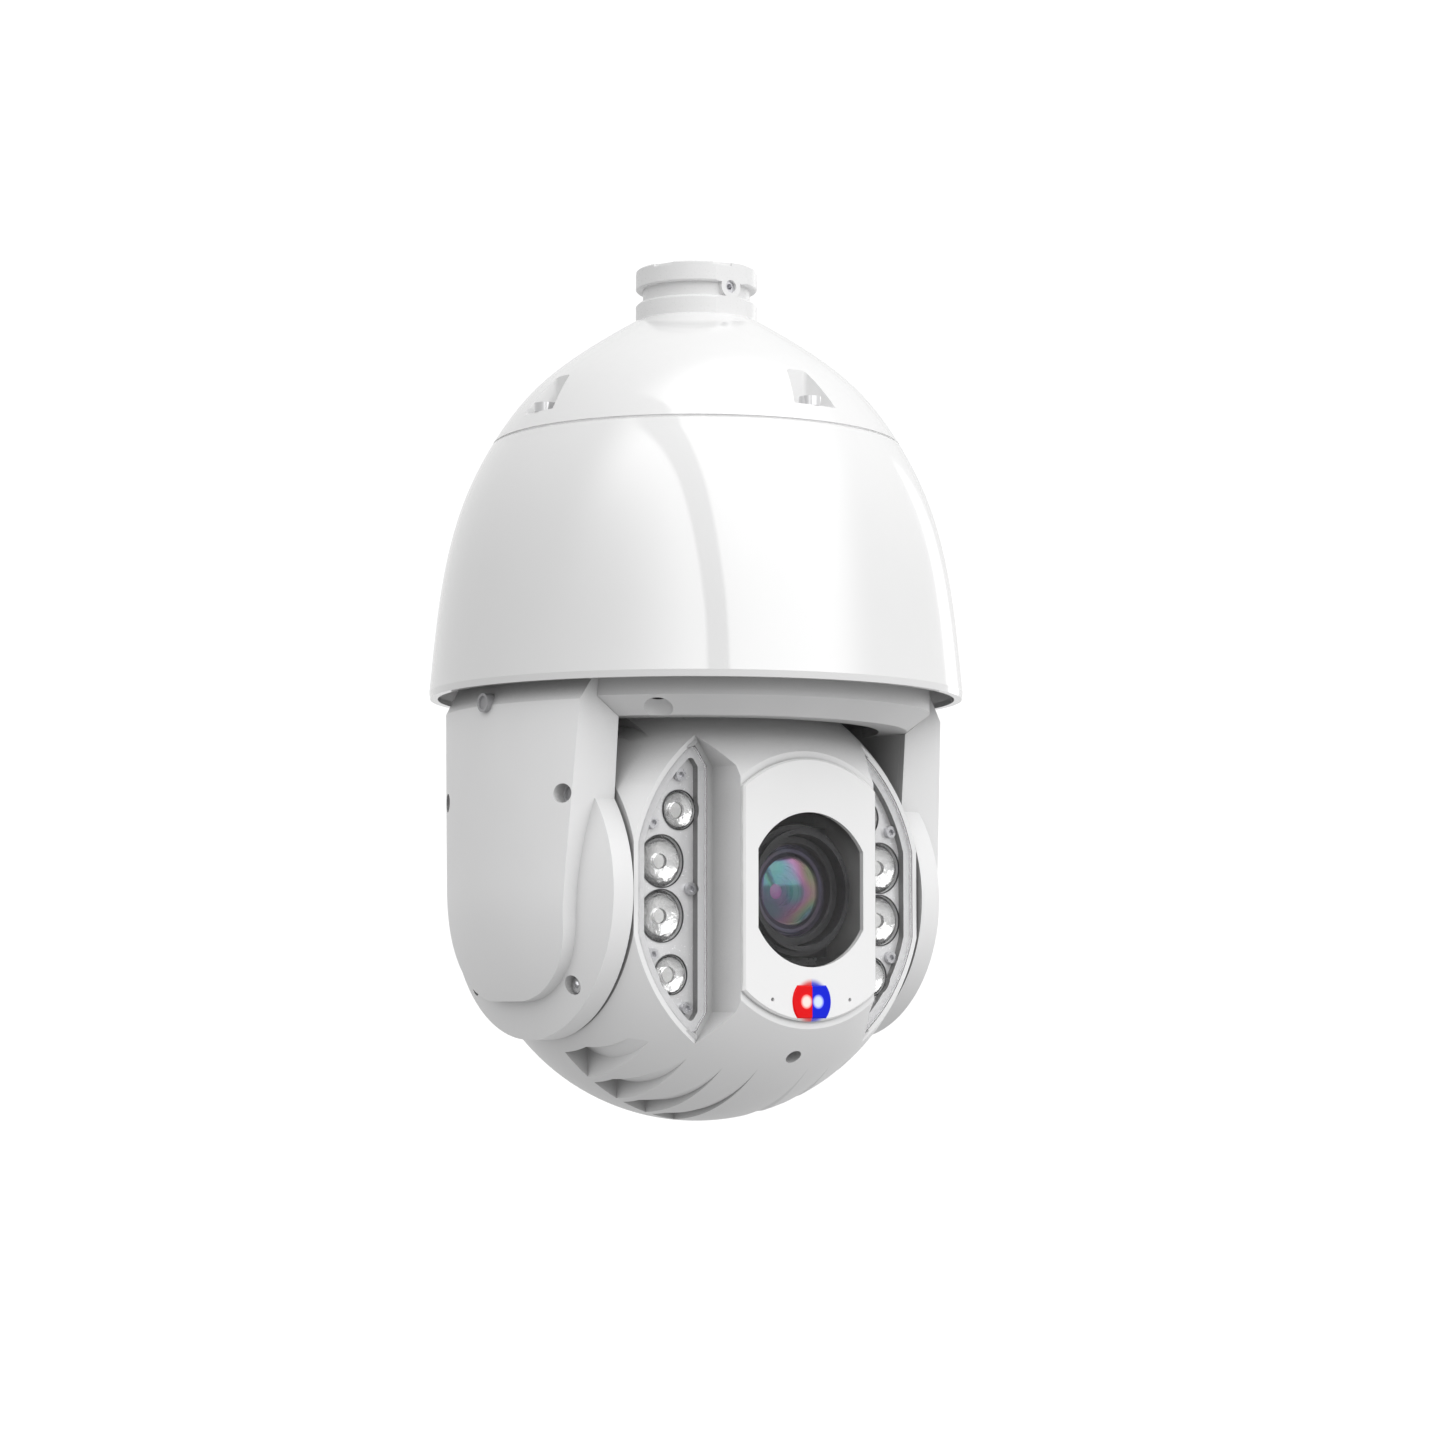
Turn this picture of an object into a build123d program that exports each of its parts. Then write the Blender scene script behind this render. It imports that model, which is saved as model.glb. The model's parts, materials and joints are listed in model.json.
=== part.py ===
from build123d import *
import math
import os

# A dome camera that pans and tilts, hung by its neck.
# Millimetres, +Z up. The origin is the centre of the neck's top face, the pan axis is Z.
# The camera looks along -Y at rest, and +X is its left-hand arm as seen from behind.
# Heights are given from the tilt axis, which runs along X, and up() turns them into Z.

# ---- driving dimensions -------------------------------------------------------------
TILT_Z = -248.0          # tilt axis below the neck's top face
NECK_R = 24.1            # neck collar, takes a 48 mm pipe clamp
NECK_GROOVE_R = 21.3
NECK_BORE_R = 16.0
NECK_FLAT_Y = -22.9      # flat that the neck's set screw enters

WALL = 3.0               # cast and moulded shells
CAP_SEAM = 176.8         # height of the seam between cap and skirt
RIM_HEIGHT = 76.4        # lower edge of the skirt
POCKET_RADIUS = 72.5     # circle of the cap screws
POCKET_FLOOR = 184.0
POCKET_BACK = 63.8       # back wall of a screw pocket, from the pan axis
POCKET_BACK_HALF = 4.4   # half width at the back wall
POCKET_FLARE = 0.46      # how fast the pocket's sides open outwards

BALL_R = 88.15           # tilting head
BALL_HALF = 68.2         # its flat sides
SHELL = 3.5
SPLIT_Y = 3.0            # front and rear shells meet here
NOSE_HALF = 32.0         # half width of the nose that carries the lens window
BEZEL_Y = -72.9          # front face of the bezel
BEZEL_T = 2.0
IR_FACE = -53.2          # plane of the two infrared windows
IR_FLOOR = -41.5
IR_PLATE = -48.6         # front of the reflector plate behind each infrared cover
DRAIN_TILT = 45.5        # the drain plug's direction below straight ahead, degrees

RIB_FIRST = 65.0         # outermost cooling rib, then one every RIB_PITCH
RIB_PITCH = 13.6
GILLS = 4                # gills between the ribs, on each side
GILL_DEEP = 8.4          # depth of the outermost gill at its rear wall
GILL_STEP = 1.6          # each gill nearer the middle is this much shallower
GILL_ANGLE = 140.0       # where a gill runs out to nothing, degrees round X from the rear
GILL_END_Y = -2.0
RIB_HALF = 1.5
THICK = 11.8             # the front casting, thick enough to carry the gills

ARM_R = 98.7             # outer surface of the arms, about the pan axis
ARM_IN = 69.6            # inner face of the yoke's cheeks
CHEEK = 3.0
HUB_R = 55.0
HUB_Z = -1.5             # hub centre against the tilt axis
HUB_OUT = 78.5
HUB_DOME = 12.0
RING_R = 92.0            # the yoke's ring, seen below the skirt
DIMPLE = (-63.0, -61.0)  # a dimple in the ring's slanted face

PAN_TEETH = 96
TILT_TEETH = 80
PINION_TEETH = 18
PAN_MODULE = 1.0
TILT_MODULE = 0.8
BACKLASH = 0.16
PAN_CENTRES = PAN_MODULE * (PAN_TEETH + PINION_TEETH) / 2
TILT_CENTRES = TILT_MODULE * (TILT_TEETH + PINION_TEETH) / 2

FIT = 0.05               # radial clearance of a screw or a shaft in its hole
BIG = 400.0


def up(height):
    """Z of a height measured from the tilt axis."""
    return TILT_Z + height


# ---- shapes used everywhere ---------------------------------------------------------
def rod_z(radius, low, high, x=0.0, y=0.0):
    return Pos(x, y, up(low)) * Cylinder(radius, high - low, align=(Align.CENTER, Align.CENTER, Align.MIN))


def rod_x(radius, low, high, y=0.0, height=0.0):
    length = high - low
    return Pos(low, y, up(height)) * Rot(0, 90, 0) * Cylinder(
        radius, length, align=(Align.CENTER, Align.CENTER, Align.MIN))


def rod_y(radius, low, high, x=0.0, height=0.0):
    length = high - low
    return Pos(x, low, up(height)) * Rot(-90, 0, 0) * Cylinder(
        radius, length, align=(Align.CENTER, Align.CENTER, Align.MIN))


def block(x, y, z):
    """A box from three (low, high) pairs, the last pair being heights."""
    middle = Pos((x[0] + x[1]) / 2, (y[0] + y[1]) / 2, up((z[0] + z[1]) / 2))
    return middle * Box(x[1] - x[0], y[1] - y[0], z[1] - z[0])


def ball(radius):
    return Pos(0, 0, TILT_Z) * Sphere(radius)


def turned(points):
    """A solid turned about the pan axis from (radius, height) corners."""
    corners = [(radius, 0, up(height)) for radius, height in points]
    outline = Polyline(*corners, close=True)
    return revolve(make_face(outline), Axis.Z, 360)


def slab_y(sketch, low, high):
    """A sketch drawn in X and height, made solid between two Y planes."""
    plane = Plane(origin=(0, high, TILT_Z), x_dir=(1, 0, 0), z_dir=(0, -1, 0))
    return extrude(plane * sketch, amount=high - low)


def slab_x(sketch, low, high):
    """A sketch drawn in Y and height, made solid between two X planes."""
    plane = Plane(origin=(low, 0, TILT_Z), x_dir=(0, 1, 0), z_dir=(1, 0, 0))
    return extrude(plane * sketch, amount=high - low)


def flip(shape):
    """The same piece on the other side of the camera."""
    return mirror(shape, Plane.YZ)


def loose(*pieces):
    """Several separate solids in one node."""
    solids = []
    for piece in pieces:
        solids.extend(piece.solids())
    return Compound(children=solids)


def both_sides(shape):
    """The piece and its twin on the other side, as one node."""
    return loose(shape, flip(shape))


def socket_screw_z(head_r, head_h, shank_r, top, length, x, y):
    """A cap screw standing on Z with a hexagon socket; top is the seat of its head."""
    screw = rod_z(head_r, top, top + head_h, x, y) + rod_z(shank_r, top - length, top, x, y)
    socket = extrude(Pos(x, y, up(top + head_h * 0.4)) * RegularPolygon(head_r * 0.52, 6), amount=head_h)
    return screw - socket


def socket_screw_x(head_r, head_h, shank_r, seat, length, y, height):
    """A cap screw along -X, head outwards; seat is where its head lands."""
    screw = rod_x(head_r, -seat - head_h, -seat, y, height) + rod_x(shank_r, -seat, -seat + length, y, height)
    plane = Plane(origin=(-seat - head_h * 0.4, y, up(height)), x_dir=(0, 1, 0), z_dir=(-1, 0, 0))
    return screw - extrude(plane * RegularPolygon(head_r * 0.52, 6), amount=head_h)


def gear_sketch(teeth, module, turn, hole):
    """An involute spur gear with one tooth centred at the angle turn (degrees)."""
    pitch_r = module * teeth / 2
    base_r = pitch_r * math.cos(math.radians(20))
    tip_r = pitch_r + module
    root_r = pitch_r - 1.25 * module
    half_at_pitch = math.pi / (2 * teeth) - BACKLASH / (2 * pitch_r)
    involute_at_pitch = math.tan(math.radians(20)) - math.radians(20)
    start_r = max(base_r, root_r)
    steps = 4
    flank = [(root_r, None)]
    for i in range(steps + 1):
        radius = start_r + (tip_r - start_r) * i / steps
        roll = math.acos(min(1.0, base_r / radius))
        half = half_at_pitch + involute_at_pitch - (math.tan(roll) - roll)
        flank.append((radius, half))
    flank[0] = (root_r, flank[1][1])
    if root_r > base_r:
        flank = flank[1:]
    points = []
    for tooth in range(teeth):
        centre = math.radians(turn) + 2 * math.pi * tooth / teeth
        for radius, half in flank:
            points.append((radius * math.cos(centre - half), radius * math.sin(centre - half)))
        for radius, half in reversed(flank):
            points.append((radius * math.cos(centre + half), radius * math.sin(centre + half)))
    outline = make_face(Polyline(*points, close=True))
    return outline - Circle(hole)


def race(inner_r, outer_r, low, high, pitch_r, ball_r):
    """One race of a ball bearing about Z, with its groove cut."""
    groove = Pos(0, 0, (low + high) / 2) * Torus(pitch_r, ball_r)
    ring = Pos(0, 0, low) * Cylinder(outer_r, high - low, align=(Align.CENTER, Align.CENTER, Align.MIN))
    hole = Pos(0, 0, low) * Cylinder(inner_r, high - low, align=(Align.CENTER, Align.CENTER, Align.MIN))
    return ring - hole - groove


def bearing_balls(count, pitch_r, ball_r, middle):
    return [Rot(0, 0, 360 * i / count) * Pos(pitch_r, 0, middle) * Sphere(ball_r) for i in range(count)]


# ---- dome: cap and skirt ------------------------------------------------------------
DOME = [(24.6, 227.2), (43.2, 215.7), (66.1, 197.1), (81.0, 176.8),
        (91.7, 154.9), (98.4, 131.4), (102.7, 102.9), (105.0, 79.0)]


def dome_points(inset):
    """The dome's outline, moved inwards square to itself."""
    moved = []
    last = len(DOME) - 1
    for i, (radius, height) in enumerate(DOME):
        r0, h0 = DOME[max(i - 1, 0)]
        r1, h1 = DOME[min(i + 1, last)]
        run = math.hypot(r1 - r0, h1 - h0)
        moved.append((radius - inset * (h0 - h1) / run, height - inset * (r1 - r0) / run))
    return moved


def dome_solid(inset):
    points = dome_points(inset)
    top = points[0]
    foot = points[-1]
    curve = Spline(*[(radius, 0, up(height)) for radius, height in points])
    lower = RIM_HEIGHT - 1
    sides = Polyline((foot[0], 0, up(foot[1])), (foot[0] - 0.5, 0, up(lower)), (0, 0, up(lower)),
                     (0, 0, up(top[1])), (top[0], 0, up(top[1])))
    return revolve(make_face(Wire([curve, *sides.edges()])), Axis.Z, 360)


def between(shape, low, high):
    return shape & block((-BIG, BIG), (-BIG, BIG), (low, high))


POCKET_TURNS = (0, 90, 180, 270)


def pocket_places():
    return [(POCKET_RADIUS * math.cos(math.radians(a)), POCKET_RADIUS * math.sin(math.radians(a)))
            for a in POCKET_TURNS]


def pocket(grow, low, high):
    """The wedge-shaped space of the screw pocket on the +X side, open outwards."""
    back = POCKET_BACK - grow
    far = 95.0
    half = POCKET_BACK_HALF + grow
    far_half = half + (far - back) * POCKET_FLARE
    outline = make_face(Polyline((back, -half), (back, half), (far, far_half), (far, -far_half), close=True))
    outline = fillet(outline.vertices().sort_by(Axis.X)[:2], 2.0 + grow)
    return Pos(0, 0, up(low)) * extrude(outline, amount=high - low)


def make_top_cap(outer, inner):
    base = CAP_SEAM + 0.6
    cap = between(outer - inner, base, 227.0)
    for turn in POCKET_TURNS:
        cap = cap + (Rot(0, 0, turn) * pocket(WALL, base, 215) & outer)
    cap = between(cap, base, 227.0)
    for turn in POCKET_TURNS:
        cap = cap - Rot(0, 0, turn) * pocket(0, POCKET_FLOOR, 240)
    for x, y in pocket_places():
        cap = cap - rod_z(2.5 + FIT, base - 1, POCKET_FLOOR, x, y)
    return cap - rod_z(19.0 + FIT, 200, 240)


def make_cap_gasket():
    gasket = rod_z(79.9, CAP_SEAM - 0.6, CAP_SEAM + 0.6) - rod_z(66, CAP_SEAM - 0.6, CAP_SEAM + 0.6)
    for x, y in pocket_places():
        gasket = gasket - rod_z(2.5 + FIT, 170, 180, x, y)
    return gasket


def make_cap_screws():
    return loose(*[socket_screw_z(4.25, 3.6, 2.5, POCKET_FLOOR, 17, x, y) for x, y in pocket_places()])


def make_skirt(outer, inner):
    top = CAP_SEAM - 0.6
    skirt = between(outer - inner, RIM_HEIGHT, top)
    flange = between(outer, top - WALL, top) - rod_z(66, 160, 190)
    skirt = skirt + flange
    for x, y in pocket_places():
        skirt = skirt - rod_z(2.5 + FIT, 160, 190, x, y)
    return skirt


# ---- neck ---------------------------------------------------------------------------
def make_neck():
    profile = [(NECK_BORE_R, 213), (19.0, 213), (19.0, 227), (NECK_R, 227), (NECK_R, 233.6),
               (NECK_R - 1.0, 234.6), (NECK_GROOVE_R, 234.6), (NECK_GROOVE_R, 240.1),
               (NECK_R - 0.5, 240.1), (NECK_R, 240.6), (NECK_R, 247.4), (NECK_R - 0.6, 248), (NECK_BORE_R, 248)]
    neck = turned(profile)
    neck = neck + (rod_y(4.6, -24, -18, 0, 238.6) & rod_z(NECK_R, 227, 248))
    for angle in (20, 80, 140, 200, 260, 320):
        notch = Rot(0, 0, angle) * block((NECK_R - 2.4, NECK_R + 2), (-4.5, 4.5), (246.6, 249))
        neck = neck - notch
    neck = neck - block((-20, 20), (-40, NECK_FLAT_Y), (227, 249))
    return neck - rod_y(2.5, -40, 0, 0, 238.6)


def make_neck_set_screw():
    screw = rod_y(2.45, NECK_FLAT_Y + 1.2, -NECK_BORE_R - 0.4, 0, 238.6)
    plane = Plane(origin=(0, NECK_FLAT_Y + 3.4, up(238.6)), x_dir=(1, 0, 0), z_dir=(0, -1, 0))
    return screw - extrude(plane * RegularPolygon(1.3, 6), amount=4)


def make_neck_nut():
    nut = extrude(Pos(0, 0, up(216)) * RegularPolygon(27, 8), amount=5.4)
    return nut - rod_z(19.0 + FIT, 210, 230)


def make_cable_gland():
    gland = rod_z(NECK_BORE_R - FIT, 236, 244)
    for x in (-6, 6):
        gland = gland - rod_z(3.2, 230, 250, x, 0)
    return gland - rod_z(2.0, 230, 250, 0, 8)


# ---- fixed frame inside the dome ----------------------------------------------------
def make_base_plate():
    top = CAP_SEAM - 0.6 - WALL
    plate = turned([(17, 112), (21, 112), (21, 126), (23, 126), (23, 158), (40, 158), (40, top - 5),
                    (79, top - 5), (79, top), (17, top)])
    for angle in (45, 165, 285):
        plate = plate + Rot(0, 0, angle) * rod_z(3.5, top, 186, 48, 0)
        plate = plate - Rot(0, 0, angle) * rod_z(1.5, 180, 187, 48, 0)
    for x, y in pocket_places():
        plate = plate - rod_z(2.5 + FIT, 160, 190, x, y)
    return plate


def make_power_board():
    board = rod_z(54, 186, 187.6) - rod_z(19.5, 180, 190)
    for angle in (45, 165, 285):
        board = board - Rot(0, 0, angle) * rod_z(1.6, 180, 190, 48, 0)
    parts = [board]
    parts.append(block((-40, -26), (-9, 9), (187.6, 197)))
    parts.append(block((24, 44), (-12, 6), (187.6, 194)))
    for x in (-16, -6, 4):
        parts.append(rod_z(4, 187.6, 200, x, 34))
    parts.append(block((-12, 12), (-44, -34), (187.6, 195)))
    return loose(*parts)


def make_pan_gear():
    return extrude(Pos(0, 0, up(152)) * gear_sketch(PAN_TEETH, PAN_MODULE, 90, 23 + FIT), amount=6)


def make_pan_bearing_inner():
    ring = Pos(0, 0, TILT_Z) * race(21 + FIT, 26, 116, 126, 28.5, 3.1)
    balls = [Pos(0, 0, TILT_Z) * piece for piece in bearing_balls(16, 28.5, 3.0, 121)]
    return loose(ring, *balls)


def make_pan_bearing_outer():
    return Pos(0, 0, TILT_Z) * race(31, 35, 116, 126, 28.5, 3.1)


def make_spindle_nut():
    nut = extrude(Pos(0, 0, up(112.4)) * RegularPolygon(27, 6), amount=3.5)
    return nut - rod_z(21 + FIT, 100, 120)


def make_slip_ring_stator():
    body = rod_z(17 - FIT, 118, 152) - rod_z(8.1, 110, 160)
    return body + (rod_z(10.5, 152, 160) - rod_z(8.1, 150, 161))


def make_slip_ring_rotor():
    return rod_z(8.0, 99, 148) + rod_z(14, 97, 100) - rod_z(5, 90, 140)


# ---- yoke ---------------------------------------------------------------------------
COVER_SCREWS = [(0.0, 70.5, 94.0), (-39.0, 34.7, 81.0), (39.0, 34.7, 81.0),
                (-33.0, -36.0, 77.0), (33.0, -36.0, 77.0)]


def ring_solid(extra=0.0):
    """Everything that the yoke's ring fills when seen from outside."""
    return turned([(0, 64 - extra), (83 + extra, 64 - extra), (RING_R + extra, 71 - extra),
                   (RING_R + extra, 97 + extra), (0, 97 + extra)])


def u_sketch(inset):
    """The arm's raised U, drawn in Y and height."""
    rise = 80.0
    half_top = 46.6 - inset
    half_low = 36.2 - inset
    low = -42.0 + inset
    corners = Polyline((-half_low, low), (half_low, low), (half_top, rise), (-half_top, rise), close=True)
    face = make_face(corners)
    lower = face.vertices().sort_by(Axis.Y)[:2]
    return fillet(lower, 31 - inset)


def arm_block(inset):
    """The arm on the -X side, solid, with all its walls moved inwards."""
    radius = ARM_R - inset
    drum = turned([(0, 0), (radius, 0), (radius, 69.5), (radius - 5.3, 80 - inset), (0, 80 - inset)])
    drum = drum + (ball(radius) & block((-BIG, BIG), (-BIG, BIG), (-70, 0)))
    boss = slab_x(u_sketch(inset), -BIG / 2, -ARM_IN) & drum
    hub_r = HUB_R - inset
    hub = rod_x(hub_r, -HUB_OUT + inset, -ARM_IN, 0, HUB_Z)
    # the hub's outer face is a shallow dome over the same circle
    dome_r = (HUB_R ** 2 + HUB_DOME ** 2) / (2 * HUB_DOME)
    dome = Pos(-(HUB_OUT + HUB_DOME - dome_r), 0, up(HUB_Z)) * Sphere(dome_r - inset)
    cap = rod_x(hub_r, -HUB_OUT - HUB_DOME, -HUB_OUT + inset, 0, HUB_Z) & dome
    return boss + hub + cap


def make_arm_cover():
    outer = arm_block(0)
    inner = arm_block(WALL)
    cover = outer - inner
    for y, height, seat in COVER_SCREWS:
        cover = cover + (rod_x(5.2, -BIG / 2, -72.0, y, height) & outer)
    cheek_space = slab_x(cheek_sketch(WALL), -ARM_IN - CHEEK, 0)
    cover = cover - cheek_space - ring_solid(0.1)
    for y, height, seat in COVER_SCREWS:
        cover = cover - rod_x(3.6, -BIG / 2, -seat, y, height)
        cover = cover - rod_x(1.5 + FIT, -seat - 1, -60, y, height)
    return cover


def make_cover_screws():
    screws = []
    for y, height, seat in COVER_SCREWS:
        length = 6.0 if seat > 90 else seat - ARM_IN - 0.4
        screws.append(socket_screw_x(2.9, 2.6, 1.5, seat, length, y, height))
    return loose(*screws)


def make_screw_plugs():
    plugs = []
    for y, height, seat in COVER_SCREWS[:3]:
        plug = rod_x(3.58, -seat - 6.6, -seat - 3.0, y, height)
        plugs.append(plug - rod_x(2.6, -seat - 7, -seat - 5.6, y, height))
    return loose(*plugs)


def cheek_sketch(inset):
    """The cheek inside an arm cover: the arm's outline, moved inwards."""
    whole = u_sketch(inset) + Pos(0, HUB_Z) * Circle(HUB_R - inset)
    return whole & (Pos(0, 4) * Rectangle(130, 128))


def make_yoke_frame():
    ring = turned([(72, 64), (83, 64), (RING_R, 71), (RING_R, 97), (7, 97), (7, 92.5), (87, 92.5),
                   (87, 70), (72, 68)])
    housing = turned([(28, 97), (39, 97), (39, 126), (35 + FIT, 126), (35 + FIT, 116), (31.5, 116), (31.5, 113),
                      (35, 110), (35, 100), (28, 97.0)])
    frame = ring + housing
    cheek = slab_x(cheek_sketch(WALL + 0.1), -ARM_IN - CHEEK, -ARM_IN)
    boss = rod_x(15.5, -77, -ARM_IN)
    for side in (cheek + boss, flip(cheek + boss)):
        frame = frame + side
    for sign in (-1, 1):
        frame = frame - rod_x(12 + FIT, min(sign * 71, sign * 90), max(sign * 71, sign * 90))
    frame = frame - rod_x(10, -80, 80)
    # holes for the cover screws
    for y, height, seat in COVER_SCREWS:
        hole = rod_x(1.5 + FIT, -95, -60, y, height)
        frame = frame - hole - flip(hole)
    # two dimples in the ring's slanted face, across from each other
    for turn in (0, 180):
        frame = frame - Rot(0, 0, turn) * Pos(*DIMPLE, up(64.6)) * Sphere(6.0)
    # pan motor screws
    for x in (-13, 13):
        for y in (-13, 13):
            frame = frame - rod_z(1.5 + FIT, 90, 100, x, PAN_CENTRES + y)
    frame = frame - rod_z(11.2, 90, 100, 0, PAN_CENTRES)
    return frame


def make_pan_motor():
    half = 17.5
    body = block((-half, half), (PAN_CENTRES - half, PAN_CENTRES + half), (97, 125))
    body = fillet(body.edges().filter_by(Axis.Z), 4)
    for x in (-13, 13):
        for y in (-13, 13):
            body = body - rod_z(1.5 + FIT, 96, 101, x, PAN_CENTRES + y)
    body = body - rod_z(2.5 + FIT, 96, 126, 0, PAN_CENTRES)
    return body + (rod_z(11, 125, 127, 0, PAN_CENTRES) - rod_z(2.5 + FIT, 120, 130, 0, PAN_CENTRES))


def make_pan_motor_screws():
    screws = []
    for x in (-13, 13):
        for y in (-13, 13):
            cx, cy = x, PAN_CENTRES + y
            screws.append(rod_z(2.7, 90.3, 92.5, cx, cy) + rod_z(1.5, 92.5, 100.8, cx, cy))
    return loose(*screws)


def make_pan_pinion():
    sketch = gear_sketch(PINION_TEETH, PAN_MODULE, 270 + 180 / PINION_TEETH, 1.0)
    pinion = extrude(Pos(0, PAN_CENTRES, up(151)) * sketch, amount=8)
    shaft = rod_z(2.5, 98, 160, 0, PAN_CENTRES)
    return pinion + shaft + rod_z(5.5, 145, 151, 0, PAN_CENTRES)


def make_tilt_motor():
    body = rod_x(14, -94.0, -84.5, 0, TILT_CENTRES) - rod_x(1.5 + FIT, -92, -80, 0, TILT_CENTRES)
    ears = block((-86, -84.5), (-20, 20), (TILT_CENTRES - 3.5, TILT_CENTRES + 3.5))
    ears = ears - rod_x(13.5, -95, -80, 0, TILT_CENTRES)
    body = body + ears
    for y in (-17.2, 17.2):
        body = body - rod_x(1.5 + FIT, -90, -80, y, TILT_CENTRES)
    return body


def make_tilt_motor_bracket():
    low = TILT_CENTRES - 5.5
    high = TILT_CENTRES + 14
    plate = block((-84.5, -83.3), (-22, 22), (low, high)) - rod_x(8.6, -90, -80, 0, TILT_CENTRES)
    for y in (-17.2, 17.2):
        plate = plate - rod_x(1.5 + FIT, -90, -80, y, TILT_CENTRES)
    for y in (-18, 18):
        plate = plate + rod_x(3, -83.3, -ARM_IN - CHEEK, y, high - 3.2)
    return plate


def make_tilt_motor_screws():
    return loose(*[rod_x(2.7, -87.8, -86, y, TILT_CENTRES) + rod_x(1.5, -86, -83.0, y, TILT_CENTRES)
                   for y in (-17.2, 17.2)])


def gear_along_x(sketch, low, high, height):
    """A gear drawn in Y and height."""
    plane = Plane(origin=(low, 0, up(height)), x_dir=(0, 1, 0), z_dir=(1, 0, 0))
    return extrude(plane * sketch, amount=high - low)


def make_tilt_pinion():
    sketch = gear_sketch(PINION_TEETH, TILT_MODULE, 270 + 180 / PINION_TEETH, 1.0)
    return gear_along_x(sketch, -83, -78, TILT_CENTRES) + rod_x(1.5, -91, -76, 0, TILT_CENTRES)


def make_tilt_gear():
    gear = gear_along_x(gear_sketch(TILT_TEETH, TILT_MODULE, 90, 7.5 + FIT), -82.5, -78.5, 0)
    hub = rod_x(12, -85, -77.6) - rod_x(7.5 + FIT, -90, -70)
    gear = gear + hub
    for i in range(6):
        angle = math.radians(60 * i + 30)
        gear = gear - rod_x(6.0, -90, -70, 21 * math.cos(angle), 21 * math.sin(angle))
    return gear


def make_tilt_shaft(bore):
    shaft = rod_x(7.5, -86, -65) + rod_x(16, -64.6, -61.4) + rod_x(7.5, -66, -61.4)
    if bore > 0:
        shaft = shaft - rod_x(bore, -BIG, 0)
    return shaft


def bearing_x(shape):
    """Lays a bearing made about Z along X, on the -X side."""
    return Pos(-73.5, 0, TILT_Z) * Rot(0, 90, 0) * shape


def make_tilt_bearing_outer():
    ring = bearing_x(race(10.6, 12.0, -2.5, 2.5, 9.75, 1.35))
    return loose(ring)


def make_tilt_bearing_inner():
    ring = bearing_x(race(7.5 + FIT, 8.9, -2.5, 2.5, 9.75, 1.35))
    balls = [bearing_x(piece) for piece in bearing_balls(12, 9.75, 1.3, 0)]
    return loose(ring, *balls)


def make_arm_board():
    board = block((80, 81.6), (-24, 24), (-18, 44)) - rod_x(17, 70, 90)
    posts = [rod_x(2.5, ARM_IN + CHEEK, 80, y, 38) for y in (-20, 20)]
    chips = [block((81.6, 83.4), (-20, -8), (22, 34)), block((81.6, 86), (6, 18), (20, 30))]
    return loose(board, *posts, *chips)


# ---- tilting head -------------------------------------------------------------------
def nose_sketch(inset):
    """The nose seen from the front: upright sides that flare out above and below."""
    half = NOSE_HALF - inset
    flare = 40.0 - inset
    tall = 90.0
    slope_x = flare + (tall - 57.5) * (40.0 - NOSE_HALF) / (57.5 - 46.0)
    corners = [(half, -46), (half, 46), (slope_x, tall), (-slope_x, tall), (-half, 46), (-half, -46),
               (-slope_x, -tall), (slope_x, -tall)]
    return make_face(Polyline(*corners, close=True))


def ir_sketch(inset):
    """The D-shaped opening of the -X infrared window, seen from the front."""
    disc_r = math.sqrt(BALL_R ** 2 - IR_FACE ** 2) - inset
    disc = Circle(disc_r)
    side = NOSE_HALF + 0.3 + inset
    slope = (40.0 - NOSE_HALF) / (57.5 - 46.0)
    lean = inset * (math.sqrt(1 + slope ** 2) - 1)
    reach = 90.0
    far = side + lean + (reach - 46.0) * slope
    field = make_face(Polyline((-side, -46), (-side, 46), (-far, reach), (-BALL_HALF + inset, reach),
                               (-BALL_HALF + inset, -reach), (-far, -reach), close=True))
    return disc & field


def rounded_ir(inset, radius):
    outline = ir_sketch(inset)
    return fillet(outline.vertices(), radius)


IR_LENSES = [(-52.6, 10.2, 9.6), (-52.6, -10.2, 9.6), (-44.6, 29.6, 7.2), (-48.4, -32.1, 7.2)]
SHELL_SCREWS = [(-44.0, 58.0), (44.0, 58.0), (-44.0, -58.0), (44.0, -58.0)]
IR_SCREWS = [(-44.8, 42.8), (-57.4, 24.4), (-39.8, 0.0), (-57.4, -24.6), (-41.8, -44.6)]


def head_solid():
    body = ball(BALL_R) & block((-BALL_HALF, BALL_HALF), (-BIG, BIG), (-BIG, BIG))
    rear = block((-BIG, BIG), (IR_FACE, BIG), (-BIG, BIG))
    nose = slab_y(nose_sketch(0), BEZEL_Y + BEZEL_T, IR_FACE + 1)
    return body & (rear + nose)


def head_hollow():
    front = ball(BALL_R - THICK) & block((-BIG, BIG), (IR_FLOOR + SHELL, SPLIT_Y), (-BIG, BIG))
    back = ball(BALL_R - SHELL) & block((-BIG, BIG), (SPLIT_Y, BIG), (-BIG, BIG))
    inside = (front + back) & block((-BALL_HALF + SHELL, BALL_HALF - SHELL), (-BIG, BIG), (-BIG, BIG))
    nose_half = NOSE_HALF - SHELL
    nose = block((-nose_half, nose_half), (BEZEL_Y + BEZEL_T + SHELL, 0), (-46, 46)) & ball(BALL_R - SHELL)
    return inside + nose


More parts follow.
